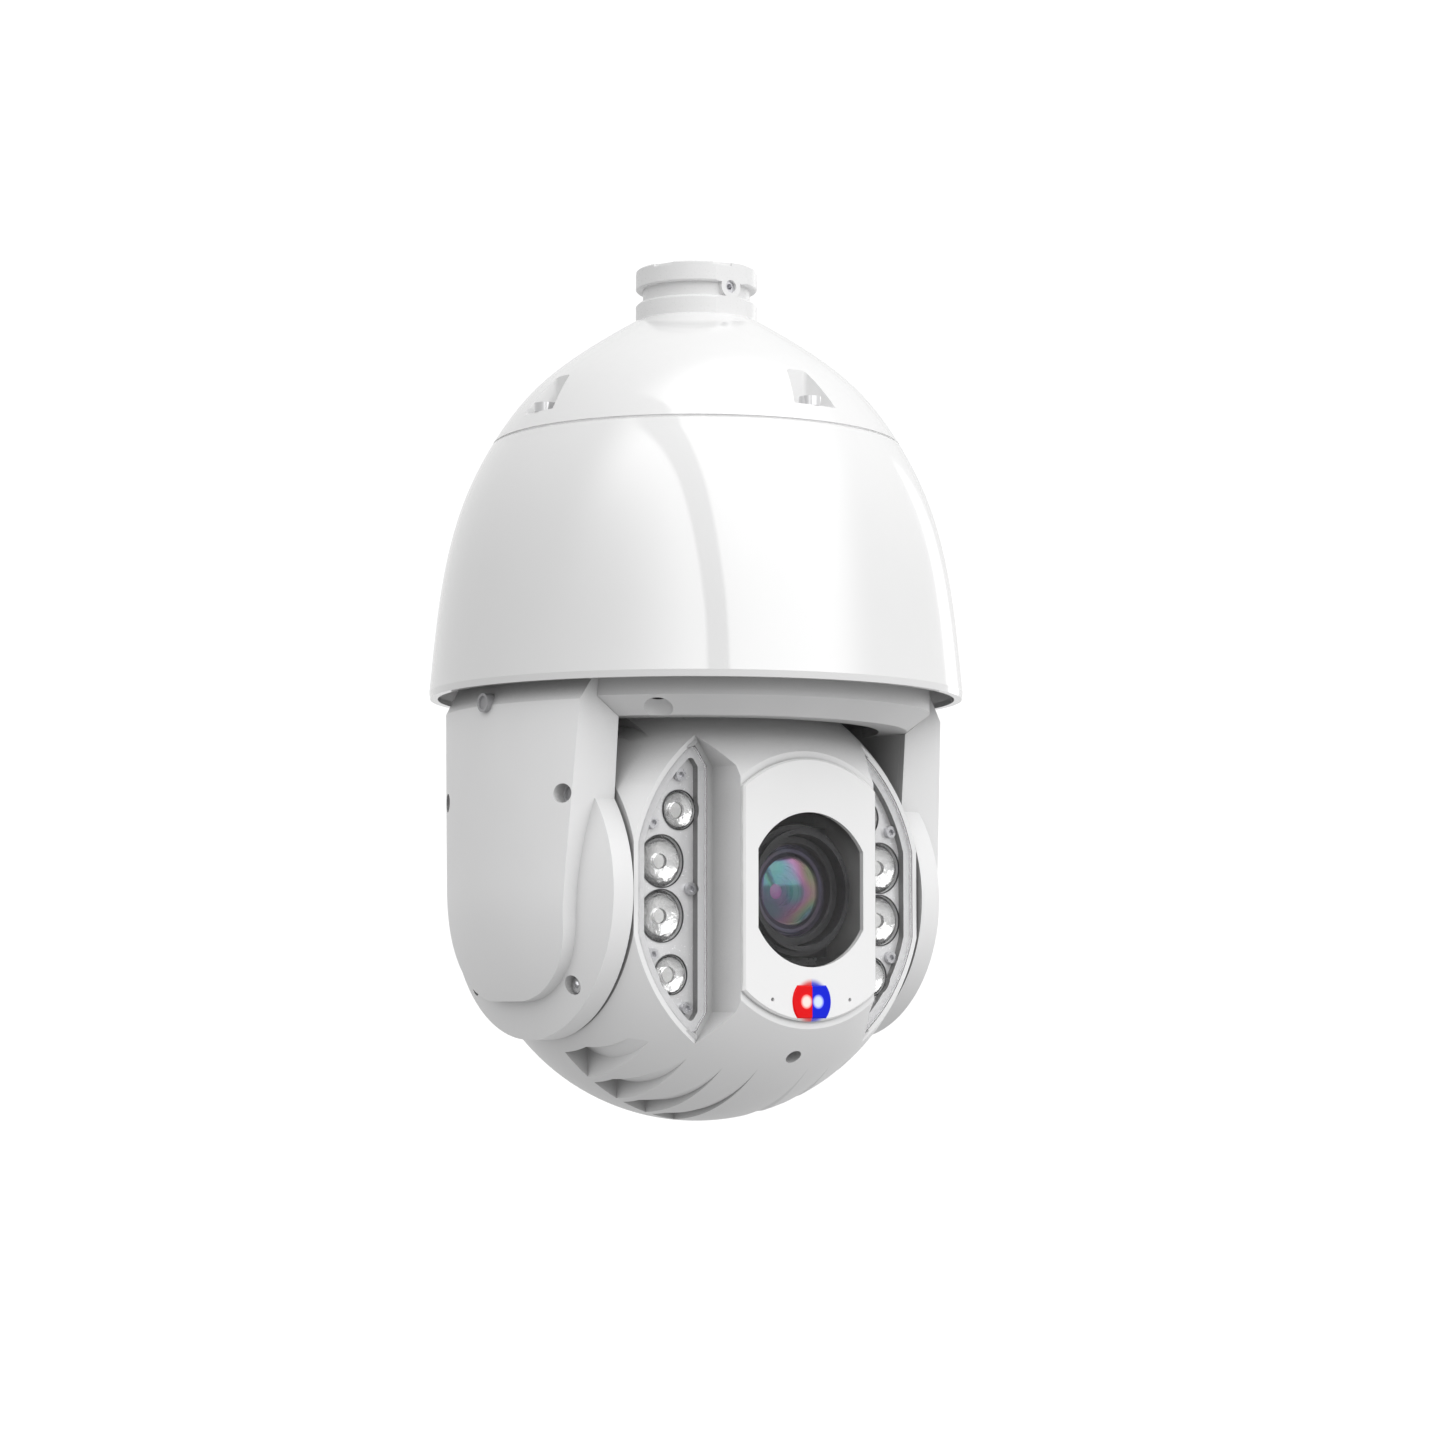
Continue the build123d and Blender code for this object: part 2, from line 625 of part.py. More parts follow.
def gill_cutter(outer_x, inner_x, depth, sign):
    """The space of one gill: it deepens towards the rear and ends in a wall."""
    # radius of the ball's section at each rib
    outer_r = math.sqrt(BALL_R ** 2 - outer_x ** 2)
    inner_r = math.sqrt(BALL_R ** 2 - inner_x ** 2)
    middle_x = (outer_x + inner_x) / 2
    # the floor turns about a centre moved towards the place where the gill fades out
    angle = math.radians(GILL_ANGLE)
    end_angle = math.acos(GILL_END_Y / BALL_R)
    offset = depth / (1 - math.cos(angle - end_angle))
    at_end = offset * math.cos(angle - end_angle)
    shelf = outer_r - at_end
    corner = inner_r - depth - at_end
    far = BALL_R + 20
    corners = [(outer_x - RIB_HALF, shelf), (middle_x, shelf), (inner_x + RIB_HALF, corner),
               (inner_x + RIB_HALF, far), (outer_x - RIB_HALF, far)]
    off_y = offset * math.cos(angle)
    off_z = TILT_Z + sign * offset * math.sin(angle)
    outline = Polyline(*[(x, off_y, off_z + radius) for x, radius in corners], close=True)
    tool = revolve(make_face(outline), Axis((0, off_y, off_z), (1, 0, 0)), 360)
    # only the stretch between where it fades and where it ends
    reach = 120.0
    fade = (reach * math.cos(angle), sign * reach * math.sin(angle))
    keep = make_face(Polyline((0, 0), fade, (fade[0], sign * reach), (GILL_END_Y, sign * reach),
                              (GILL_END_Y, 0), close=True))
    return tool & slab_x(keep, -BALL_HALF - 5, BALL_HALF + 5)


def all_gills():
    tools = []
    for i in range(GILLS):
        outer_x = RIB_FIRST - RIB_PITCH * i
        for sign in (-1, 1):
            tool = gill_cutter(outer_x, outer_x - RIB_PITCH, GILL_DEEP - GILL_STEP * i, sign)
            tools.append(tool)
            tools.append(flip(tool))
    return tools


def window_sketch(grow):
    width = 2 * (25.2 + grow)
    return Circle(29.2 + grow) & Rectangle(width, 90)


def strobe_sketch(grow):
    shape = Circle(9.2 + grow) & (Pos(0, -0.05) * Rectangle(30, 12.3 + 2 * grow))
    return Pos(0, -42.1) * shape


def drain_along(radius, start, end):
    """A rod along the drain plug's direction, between two distances from the ball's centre."""
    rod = Cylinder(radius, end - start, align=(Align.CENTER, Align.CENTER, Align.MIN))
    return Pos(0, 0, TILT_Z) * Rot(90 + DRAIN_TILT, 0, 0) * Pos(0, 0, start) * rod


def make_ball_shells():
    body = head_solid() - head_hollow()
    for x, height in SHELL_SCREWS:
        body = body + (rod_y(5, -55, 60, x, height) & ball(BALL_R - 1))
    for tool in all_gills():
        body = body - tool
    recess = slab_y(ir_sketch(2.0), IR_FACE - 1, IR_FLOOR)
    body = body - recess - flip(recess)
    body = body - slab_y(window_sketch(2.4), -80, -60)
    body = body - slab_y(strobe_sketch(0.3), -80, -60)
    for x in (-18.5, 18.5):
        body = body - rod_y(1.6, -80, -60, x, -41.3)
    body = body - rod_x(7.5 + FIT, -80, 80)
    for x, height in IR_SCREWS:
        hole = rod_y(1.2 + FIT, -50, -30, x, height)
        body = body - hole - flip(hole)
    body = body + (drain_along(6, 78, 86.5) & ball(BALL_R - 0.5))
    body = body - drain_along(3.2, 60, 100)
    for x, height in SHELL_SCREWS:
        body = body - rod_y(1.5 + FIT, -10, 90, x, height) - rod_y(3.2, 26, 90, x, height)
    front = body & block((-BIG, BIG), (-BIG, SPLIT_Y), (-BIG, BIG))
    rear = body & block((-BIG, BIG), (SPLIT_Y, BIG), (-BIG, BIG))
    return front, rear


def make_shell_screws():
    screws = []
    for x, height in SHELL_SCREWS:
        head = rod_y(3.0, 26, 29, x, height) + rod_y(1.5, -9, 26, x, height)
        screws.append(head)
    return loose(*screws)


def make_bezel():
    outline = Circle(49.6) & Rectangle(2 * NOSE_HALF - 0.4, 120)
    plate = slab_y(outline, BEZEL_Y, BEZEL_Y + BEZEL_T)
    front_rim = plate.faces().sort_by(Axis.Y)[0].outer_wire().edges()
    plate = chamfer(front_rim, 0.7)
    opening = slab_y(window_sketch(0), BEZEL_Y - 1, BEZEL_Y + BEZEL_T + 1)
    plate = plate - opening - slab_y(strobe_sketch(0.05), -80, -60)
    for x in (-18.5, 18.5):
        plate = plate - rod_y(0.75, -80, -60, x, -41.3)
    return plate


def make_window_glass():
    return slab_y(window_sketch(2.3), -70.85, -68.4)


def strobe_half(sign):
    half = slab_y(strobe_sketch(0), BEZEL_Y - 0.5, -68.6)
    rounded = chamfer(half.faces().sort_by(Axis.Y)[0].outer_wire().edges(), 0.45)
    keep = (-20, -0.05) if sign < 0 else (0.05, 20)
    return rounded & block(keep, (-90, -50), (-60, -20))


def make_strobe_board():
    board = block((-14, 14), (-66.6, -65.2), (-45.5, -33.5))
    leds = [block((x - 1.8, x + 1.8), (-67.8, -66.6), (-43.9, -40.3)) for x in (-4, 4)]
    return loose(board, *leds)


def make_microphones():
    return loose(*[rod_y(1.5, -70.8, -66.9, x, -41.3) for x in (-18.5, 18.5)])


def make_ir_cover():
    cover = slab_y(rounded_ir(2.4, 2.5), IR_FACE, IR_FACE + 1.6)
    return cover


def make_ir_seal():
    ring = rounded_ir(2.4, 2.5) - rounded_ir(5.6, 2.0)
    seal = slab_y(ring, IR_FACE + 1.6, IR_PLATE)
    for x, height, radius in IR_LENSES:
        seal = seal - rod_y(radius + 0.1, -60, -40, x, height)
    for x, height in IR_SCREWS:
        seal = seal - rod_y(2.35, -60, -40, x, height)
    return seal


def make_ir_reflector():
    plate = slab_y(rounded_ir(2.6, 2.5), IR_PLATE, IR_PLATE + 1.5)
    for x, height, radius in IR_LENSES:
        plate = plate - rod_y(radius + 0.2, -60, -40, x, height)
    for x, height in IR_SCREWS:
        plate = plate - rod_y(2.35, -60, -40, x, height)
    return plate


def domed_lens(radius, sag, rim, back, hollow_r, hollow_y):
    """A lens turned about Y: domed in front of its rim, with a hollow in its back for the lamp."""
    dome_r = (radius ** 2 + sag ** 2) / (2 * sag)
    half = math.asin(radius / dome_r) / 2
    crown = rim - sag
    middle = (dome_r * math.sin(half), crown + dome_r * (1 - math.cos(half)))
    front = ThreePointArc((0, crown), middle, (radius, rim))
    rest = Polyline((radius, rim), (radius, back), (hollow_r, back), (hollow_r, hollow_y), (0, hollow_y), (0, crown))
    return revolve(make_face(Wire([front, *rest.edges()])), Axis.Y, 360)


def make_ir_lenses():
    lenses = []
    for x, height, radius in IR_LENSES:
        sag = 0.42 * radius
        crown = -51.2
        lenses.append(Pos(x, 0, up(height)) * domed_lens(radius, sag, crown + sag, -45.6, 2.4, -46.4))
    return loose(*lenses)


def make_ir_board():
    board = slab_y(rounded_ir(2.6, 2.5), -43.6, -42.2)
    for x, height in IR_SCREWS:
        board = board - rod_y(1.2 + FIT, -60, -40, x, height)
    leds = [rod_y(2.2, -45.4, -43.6, x, height) for x, height, radius in IR_LENSES]
    return loose(board, *leds)


def make_ir_screws():
    screws = []
    for x, height in IR_SCREWS:
        post = rod_y(2.3, -50.6, -43.6, x, height)
        plane = Plane(origin=(x, -49.0, up(height)), x_dir=(1, 0, 0), z_dir=(0, -1, 0))
        shank = rod_y(1.2, -43.6, -38.5, x, height)
        screws.append(post + shank - extrude(plane * RegularPolygon(1.2, 6), amount=3))
    return loose(*screws)


# ---- camera inside the head ---------------------------------------------------------
def make_camera_block():
    body = block((-25, 25), (-50, 20), (-25, 25)) - rod_y(20.5, -60, 16)
    body = body - rod_y(6, 0, 30)
    return body


def make_lens_barrel():
    barrel = rod_y(25, -64, -50) - rod_y(20.5, -70, -40)
    lip = rod_y(23, -66.5, -64) - rod_y(21.2, -70, -60)
    return barrel + lip - rod_y(21.2, -70, -58)


def make_front_element():
    sag = 6.0
    radius = 21.1
    dome_r = (radius ** 2 + sag ** 2) / (2 * sag)
    dome = Pos(0, -65.0 + dome_r, TILT_Z) * Sphere(dome_r)
    return (rod_y(radius, -65.0, -59.0) & dome) + rod_y(radius, -59.0, -58.0)


def carriage(low, high, lens_r):
    ring = rod_y(19.5, low, high) - rod_y(lens_r, -80, 80)
    for x in (-15.5, 15.5):
        ring = ring - rod_y(1.2 + FIT, -80, 80, x, 0)
    return ring


def lens_disc(low, high, lens_r):
    middle = (low + high) / 2
    sag = 1.2
    dome_r = (lens_r ** 2 + sag ** 2) / (2 * sag)
    front = Pos(0, middle - 2.0 + dome_r, TILT_Z) * Sphere(dome_r)
    back = Pos(0, middle + 2.0 - dome_r, TILT_Z) * Sphere(dome_r)
    return rod_y(lens_r, low, high) & front & back


def make_guide_rods():
    return loose(*[rod_y(1.2, -57.5, 16, x, 0) for x in (-15.5, 15.5)])


def make_sensor_board():
    board = block((-22, 22), (20, 21.6), (-22, 22))
    sensor = block((-4.5, 4.5), (18.6, 20), (-3.5, 3.5))
    chips = [block((-16, -6), (21.6, 23), (4, 14)), block((4, 14), (21.6, 23), (-14, -4))]
    return loose(board, sensor, *chips)


def make_camera_cradle():
    plate = block((-BALL_HALF + SHELL, BALL_HALF - SHELL), (-24, -4), (-28, -25))
    tray = block((-25, 25), (-44, 16), (-28, -25))
    return plate + tray


def make_main_board():
    board = block((-40, 40), (44, 45.6), (-38, 38))
    chips = [block((-14, 14), (45.6, 48), (-14, 14)), block((-34, -22), (45.6, 47.4), (10, 22)),
             block((20, 34), (40.5, 44), (-30, -22)), block((-34, -16), (39, 44), (-34, -26))]
    return loose(board, *chips)


def make_drain_plug():
    plug = drain_along(3.15, 79, 84.5)
    turned_plane = Pos(0, 0, TILT_Z) * Rot(90 + DRAIN_TILT, 0, 0) * Pos(0, 0, 82.8)
    return plug - extrude(turned_plane * RegularPolygon(1.7, 6), amount=4)


# ---- the whole camera ---------------------------------------------------------------
def build():
    outer = dome_solid(0)
    inner = dome_solid(WALL)
    front_shell, rear_shell = make_ball_shells()
    cover = make_arm_cover()
    nodes = {
        "neck_connector": make_neck(),
        "neck_set_screw": make_neck_set_screw(),
        "neck_lock_nut": make_neck_nut(),
        "cable_gland": make_cable_gland(),
        "top_cap": make_top_cap(outer, inner),
        "cap_gasket": make_cap_gasket(),
        "cap_screws": make_cap_screws(),
        "sunshield_skirt": make_skirt(outer, inner),
        "base_plate": make_base_plate(),
        "power_board": make_power_board(),
        "pan_ring_gear": make_pan_gear(),
        "pan_bearing_inner": make_pan_bearing_inner(),
        "spindle_nut": make_spindle_nut(),
        "slip_ring_stator": make_slip_ring_stator(),
        "slip_ring_rotor": make_slip_ring_rotor(),
        "pan_bearing_outer": make_pan_bearing_outer(),
        "yoke_frame": make_yoke_frame(),
        "pan_motor": make_pan_motor(),
        "pan_motor_screws": make_pan_motor_screws(),
        "pan_pinion": make_pan_pinion(),
        "tilt_motor": make_tilt_motor(),
        "tilt_motor_bracket": make_tilt_motor_bracket(),
        "tilt_motor_screws": make_tilt_motor_screws(),
        "tilt_pinion": make_tilt_pinion(),
        "tilt_bearing_outer": both_sides(make_tilt_bearing_outer()),
        "left_arm_cover": cover,
        "right_arm_cover": flip(cover),
        "arm_cover_screws": both_sides(make_cover_screws()),
        "arm_screw_plugs": both_sides(make_screw_plugs()),
        "arm_board": make_arm_board(),
        "ball_front_shell": front_shell,
        "ball_rear_shell": rear_shell,
        "shell_screws": make_shell_screws(),
        "drain_plug": make_drain_plug(),
        "left_tilt_shaft": make_tilt_shaft(0),
        "right_tilt_shaft": flip(make_tilt_shaft(5)),
        "tilt_gear": make_tilt_gear(),
        "tilt_bearing_inner": both_sides(make_tilt_bearing_inner()),
        "front_bezel": make_bezel(),
        "window_glass": make_window_glass(),
        "strobe_lens_red": strobe_half(-1),
        "strobe_lens_blue": strobe_half(1),
        "strobe_board": make_strobe_board(),
        "microphones": make_microphones(),
        "left_ir_cover": make_ir_cover(),
        "right_ir_cover": flip(make_ir_cover()),
        "ir_seals": both_sides(make_ir_seal()),
        "ir_reflectors": both_sides(make_ir_reflector()),
        "ir_lenses": both_sides(make_ir_lenses()),
        "ir_boards": both_sides(make_ir_board()),
        "ir_screws": both_sides(make_ir_screws()),
        "camera_block": make_camera_block(),
        "camera_cradle": make_camera_cradle(),
        "lens_barrel": make_lens_barrel(),
        "front_element": make_front_element(),
        "guide_rods": make_guide_rods(),
        "sensor_board": make_sensor_board(),
        "main_board": make_main_board(),
        "zoom_carriage": loose(carriage(-48, -42, 12), lens_disc(-48, -42, 12)),
        "focus_carriage": loose(carriage(-12, -7, 8), lens_disc(-12, -7, 8)),
    }
    return nodes


def main():
    os.makedirs("parts", exist_ok=True)
    for name, shape in build().items():
        export_step(shape, "parts/" + name + ".step")
        print(name, len(shape.solids()), round(shape.volume))


main()
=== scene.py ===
import json
import math

import bmesh
import bpy
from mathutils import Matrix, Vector


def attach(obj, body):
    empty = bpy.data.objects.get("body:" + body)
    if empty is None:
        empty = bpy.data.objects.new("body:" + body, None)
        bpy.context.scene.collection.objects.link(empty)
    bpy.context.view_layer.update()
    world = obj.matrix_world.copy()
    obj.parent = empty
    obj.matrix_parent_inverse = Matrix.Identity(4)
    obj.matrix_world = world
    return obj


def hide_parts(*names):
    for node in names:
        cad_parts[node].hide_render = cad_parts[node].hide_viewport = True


# A hanging dome camera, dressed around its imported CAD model. Metres, in the CAD model's frame:
# +Z up, the origin at the centre of the neck's top face, the camera looking along -Y.

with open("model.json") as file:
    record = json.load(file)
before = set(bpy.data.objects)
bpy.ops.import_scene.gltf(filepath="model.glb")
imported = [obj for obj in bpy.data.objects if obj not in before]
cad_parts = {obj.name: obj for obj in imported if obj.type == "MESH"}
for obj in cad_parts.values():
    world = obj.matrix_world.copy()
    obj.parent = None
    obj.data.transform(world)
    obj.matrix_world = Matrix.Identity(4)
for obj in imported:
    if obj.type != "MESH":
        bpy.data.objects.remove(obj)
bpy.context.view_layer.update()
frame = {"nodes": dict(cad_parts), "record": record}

# ---- camera -------------------------------------------------------------------------
VIEW_AZIMUTH = 37.06        # degrees, from straight ahead towards the left arm
VIEW_PITCH = 4.75           # degrees upwards
VIEW_PLACE = (-0.83833, -1.12739, -0.29674)
VIEW_LENS = 89.04

# ---- driving places, the same as the CAD model's ---------------------------------------
TILT_Z = -0.248             # height of the tilt axis
MM = 0.001
nodes = frame["nodes"]

# zoom lens, millimetres: radii, and places along Y
BARREL_R = 20.4             # bore of the barrel
LENS_R = 17.5
LENS_T = 1.5
LENS_CROWN = -67.4
LENS_RIM = -58.9
BAFFLE_FOOT = -49.6
# radius of each ledge's inner edge, and its place
BAFFLE_STEPS = [(17.0, -58.2), (14.0, -57.95), (12.6, -56.2), (9.4, -55.6), (8.4, -54.0),
                (6.2, -53.4), (5.2, -51.6), (2.9, -50.8)]
BAFFLE_T = 0.3
COATING_SCALE = 45.0

# infrared lenses on the right: x, height from the tilt axis, radius
LAMPS = [(52.6, 10.2, 9.6), (52.6, -10.2, 9.6), (44.6, 29.6, 7.2), (48.4, -32.1, 7.2)]
CUP_HOLE = 2.45             # each lamp stands in the hole of its cup
CUP_LIP = -47.0             # places along Y of the cup's lip, face and back
CUP_FACE = -45.5
CUP_BACK = -43.8
CUP_WALL = 0.45
RIM_FRONT = -49.1           # the dark rim stands on the reflector plate
RIM_BACK = -48.65

PAINTED_SHADE_REACH = 26.0         # painted shade: grey paint is darkened where another surface is nearer than this
STROBE_HEIGHT = -42.1       # from the tilt axis
STROBE_RED = (0.55, 0.0, 0.002)
STROBE_BLUE = (0.0, 0.008, 0.48)
PALE_RED = (1.0, 0.50, 0.46)
PALE_BLUE = (0.42, 0.50, 1.0)
HALO_START = 6.6            # the strobe's glow on the bezel is full up to here
HALO_END = 9.2              # and gone here
LAMP_X = 2.8
LAMP_CORE = 0.1             # the strobe's lamps look pale this far out
LAMP_REACH = 4.4            # and deeply coloured from here on

# nodes that look different from the finish their slot names
SEEN_AS = {
    # the infrared seals carry a painted highlight on their fronts and painted shade on their sides
    "ir_seals": "painted_light_rim",
    "ir_boards": "white_board",
    "microphones": "barrel_black",
    "cap_gasket": "seam_white",
    "cap_screws": "chrome",
    "arm_cover_screws": "chrome",
}


def strobe_at(x):
    """A point on the strobe's front, in the frame."""
    return (x * MM, -0.0734, TILT_Z + STROBE_HEIGHT * MM)


def make_camera():
    data = bpy.data.cameras.new("view_camera")
    data.lens = VIEW_LENS
    data.sensor_width = 36.0
    data.clip_start = 0.05
    data.clip_end = 50.0
    camera = bpy.data.objects.new("view_camera", data)
    bpy.context.scene.collection.objects.link(camera)
    camera.location = VIEW_PLACE
    azimuth = math.radians(VIEW_AZIMUTH)
    pitch = math.radians(VIEW_PITCH)
    camera.rotation_euler = (math.pi / 2 + pitch, 0.0, -azimuth)
    bpy.context.scene.camera = camera


# ---- studio -------------------------------------------------------------------------
# The light comes from a white room: two large soft boxes that reach overhead, with a narrow
# dark seam between them, over a dimmer surround. All of it is worked out from direction alone.
SEAM_X = -0.46              # where the seam between the soft boxes lies, as the direction's X
SEAM_HALF = 0.055
ROOM_LEFT = 0.60            # radiance of the surround, left and right
ROOM_RIGHT = 0.88
BOX_LIGHT = 1.25            # radiance of the soft boxes on top of the surround
FLOOR_Z = -0.75


class Numbers:
    """Short names for arithmetic between node sockets."""

    def __init__(self, tree):
        self.tree = tree

    def math(self, operation, a, b=0.0):
        node = self.tree.nodes.new("ShaderNodeMath")
        node.operation = operation
        for socket, value in zip(node.inputs, (a, b)):
            if isinstance(value, (int, float)):
                socket.default_value = value
            else:
                self.tree.links.new(value, socket)
        return node.outputs[0]

    def ramp(self, value, start, end, low=0.0, high=1.0):
        """Rises smoothly from low to high as value goes from start to end."""
        node = self.tree.nodes.new("ShaderNodeMapRange")
        node.interpolation_type = "SMOOTHSTEP"
        self.tree.links.new(value, node.inputs["Value"])
        settings = {"From Min": start, "From Max": end, "To Min": low, "To Max": high}
        for name, number in settings.items():
            node.inputs[name].default_value = number
        return node.outputs["Result"]


def make_world():
    world = bpy.data.worlds.new("white_studio")
    bpy.context.scene.world = world
    world.use_nodes = True
    tree = world.node_tree
    tree.nodes.clear()
    n = Numbers(tree)
    place = tree.nodes.new("ShaderNodeTexCoord")
    split = tree.nodes.new("ShaderNodeSeparateXYZ")
    tree.links.new(place.outputs["Generated"], split.inputs[0])
    x, y, z = split.outputs
    surround = n.ramp(x, -0.9, 0.6, ROOM_LEFT, ROOM_RIGHT)
    above = n.ramp(z, -0.9, 0.15, 0.55, 1.0)
    room = n.math("MULTIPLY", surround, above)
    # the seam is furthest left in the middle of its height
    bend = n.math("POWER", n.math("SUBTRACT", z, 0.5), 2.0)
    seam = n.math("ADD", n.math("MULTIPLY", bend, 0.5), SEAM_X)
    beside = n.math("SUBTRACT", x, seam)
    soft_end = SEAM_HALF + 0.03
    right_box = n.math("MULTIPLY", n.ramp(beside, SEAM_HALF, soft_end), n.ramp(x, 0.75, 0.35))
    left_box = n.math("MULTIPLY", n.ramp(beside, -SEAM_HALF, -soft_end), n.ramp(x, -1.05, -0.5))
    boxes = n.math("ADD", right_box, left_box)
    boxes = n.math("MULTIPLY", boxes, n.ramp(z, 0.10, 0.26))
    boxes = n.math("MULTIPLY", boxes, n.ramp(y, 0.25, -0.15))
    # a narrow bright strip far to the right, a little behind the object
    strip = n.math("MULTIPLY", n.ramp(x, 0.86, 0.90), n.ramp(y, 0.18, 0.24))
    boxes = n.math("ADD", boxes, strip)
    radiance = n.math("ADD", room, n.math("MULTIPLY", boxes, BOX_LIGHT))
    lit = tree.nodes.new("ShaderNodeBackground")
    tree.links.new(radiance, lit.inputs["Strength"])
    seen = tree.nodes.new("ShaderNodeBackground")
    seen.inputs["Color"].default_value = (1.0, 1.0, 1.0, 1.0)
    seen.inputs["Strength"].default_value = 1.1
    lit.inputs["Color"].default_value = (1.0, 1.0, 1.0, 1.0)
    path = tree.nodes.new("ShaderNodeLightPath")
    mix = tree.nodes.new("ShaderNodeMixShader")
    out = tree.nodes.new("ShaderNodeOutputWorld")
    tree.links.new(path.outputs["Is Camera Ray"], mix.inputs["Fac"])
    tree.links.new(lit.outputs[0], mix.inputs[1])
    tree.links.new(seen.outputs[0], mix.inputs[2])
    tree.links.new(mix.outputs[0], out.inputs["Surface"])


def make_floor():
    bpy.ops.mesh.primitive_circle_add(vertices=96, radius=9.0, fill_type="NGON", location=(0, 0, FLOOR_Z))
    floor = bpy.context.object
    floor.name = "floor"
    material, tree, shader = start_material("white_floor")
    shader.inputs["Base Color"].default_value = (0.8, 0.8, 0.8, 1.0)
    shader.inputs["Roughness"].default_value = 0.9
    shader.inputs["Emission Color"].default_value = (1.0, 1.0, 1.0, 1.0)
    shader.inputs["Emission Strength"].default_value = 0.7
    # seen from below, the floor is clear, so that the underside can be looked at
    side = tree.nodes.new("ShaderNodeNewGeometry")
    below = tree.nodes.new("ShaderNodeBsdfTransparent")
    mix = tree.nodes.new("ShaderNodeMixShader")
    tree.links.new(side.outputs["Backfacing"], mix.inputs["Fac"])
    tree.links.new(shader.outputs[0], mix.inputs[1])
    tree.links.new(below.outputs[0], mix.inputs[2])
    tree.links.new(mix.outputs[0], tree.nodes["Material Output"].inputs["Surface"])
    floor.data.materials.append(material)
    # the floor is seen but throws no light up at the camera's underside
    floor.visible_diffuse = False
    floor.visible_glossy = False
    floor.visible_transmission = False


# ---- materials ----------------------------------------------------------------------
def start_material(name):
    material = bpy.data.materials.new(name)
    material.use_nodes = True
    tree = material.node_tree
    return material, tree, tree.nodes["Principled BSDF"]


def noise_on_object(tree, scale, detail=3.0):
    """Noise in the object's own space, so that it stays with the piece."""
    place = tree.nodes.new("ShaderNodeTexCoord")
    noise = tree.nodes.new("ShaderNodeTexNoise")
    noise.inputs["Scale"].default_value = scale
    noise.inputs["Detail"].default_value = detail
    tree.links.new(place.outputs["Object"], noise.inputs["Vector"])
    return noise


def colour_between(tree, factor, low, high):
    ramp = tree.nodes.new("ShaderNodeValToRGB")
    ramp.color_ramp.elements[0].position = 0.3
    ramp.color_ramp.elements[0].color = (*low, 1.0)
    ramp.color_ramp.elements[1].position = 0.7
    ramp.color_ramp.elements[1].color = (*high, 1.0)
    tree.links.new(factor, ramp.inputs["Fac"])
    return ramp.outputs["Color"]


def number_between(tree, factor, low, high):
    spread = tree.nodes.new("ShaderNodeMapRange")
    spread.inputs["From Min"].default_value = 0.3
    spread.inputs["From Max"].default_value = 0.7
    spread.inputs["To Min"].default_value = low
    spread.inputs["To Max"].default_value = high
    tree.links.new(factor, spread.inputs["Value"])
    return spread.outputs["Result"]


def bump_from(tree, shader, height, strength, distance):
    bump = tree.nodes.new("ShaderNodeBump")
    bump.inputs["Strength"].default_value = strength
    bump.inputs["Distance"].default_value = distance
    tree.links.new(height, bump.inputs["Height"])
    tree.links.new(bump.outputs["Normal"], shader.inputs["Normal"])


def painted_crease_shade(tree, colour, depth):
    """The colour with painted shade: toned down where the surface is closed in, as ambient occlusion finds
    it.
    """
    closeness = tree.nodes.new("ShaderNodeAmbientOcclusion")
    closeness.inputs["Distance"].default_value = PAINTED_SHADE_REACH * MM
    closeness.samples = 8
    tone = Numbers(tree).ramp(closeness.outputs["AO"], 0.35, 0.95, 1.0 - depth, 1.0)
    scale = tree.nodes.new("ShaderNodeVectorMath")
    scale.operation = "SCALE"
    tree.links.new(colour, scale.inputs[0])
    tree.links.new(tone, scale.inputs["Scale"])
    return scale.outputs[0]


def surface(name, colour, spread, rough, grain, bump, metallic=0.0, coat=0.0, painted_shade=0.0):
    """Paint, plastic, rubber or metal: a colour that drifts a little, uneven gloss and a fine grain."""
    material, tree, shader = start_material(name)
    drift = noise_on_object(tree, 18.0, 2.0)
    low = tuple(c * (1.0 - spread) for c in colour)
    high = tuple(min(1.0, c * (1.0 + spread)) for c in colour)
    paint = colour_between(tree, drift.outputs["Fac"], low, high)
    # painted shade: the paint is darkened in creases and between parts, where shade falls
    if painted_shade > 0:
        paint = painted_crease_shade(tree, paint, painted_shade)
    tree.links.new(paint, shader.inputs["Base Color"])
    fine = noise_on_object(tree, grain, 3.0)
    tree.links.new(number_between(tree, fine.outputs["Fac"], *rough), shader.inputs["Roughness"])
    bump_from(tree, shader, fine.outputs["Fac"], bump[0], bump[1])
    shader.inputs["Metallic"].default_value = metallic
    shader.inputs["Coat Weight"].default_value = coat
    shader.inputs["Coat Roughness"].default_value = 0.04
    shader.inputs["Coat IOR"].default_value = 2.0
    return material


def clear(name, colour, rough, ior):
    """Glass or clear plastic, with a faint unevenness of its gloss."""
    material, tree, shader = start_material(name)
    drift = noise_on_object(tree, 30.0, 2.0)
    low = tuple(c * 0.97 for c in colour)
    tree.links.new(colour_between(tree, drift.outputs["Fac"], low, colour), shader.inputs["Base Color"])
    tree.links.new(number_between(tree, drift.outputs["Fac"], *rough), shader.inputs["Roughness"])
    shader.inputs["Transmission Weight"].default_value = 1.0
    shader.inputs["IOR"].default_value = ior
    let_light_in(tree, shader)
    return material


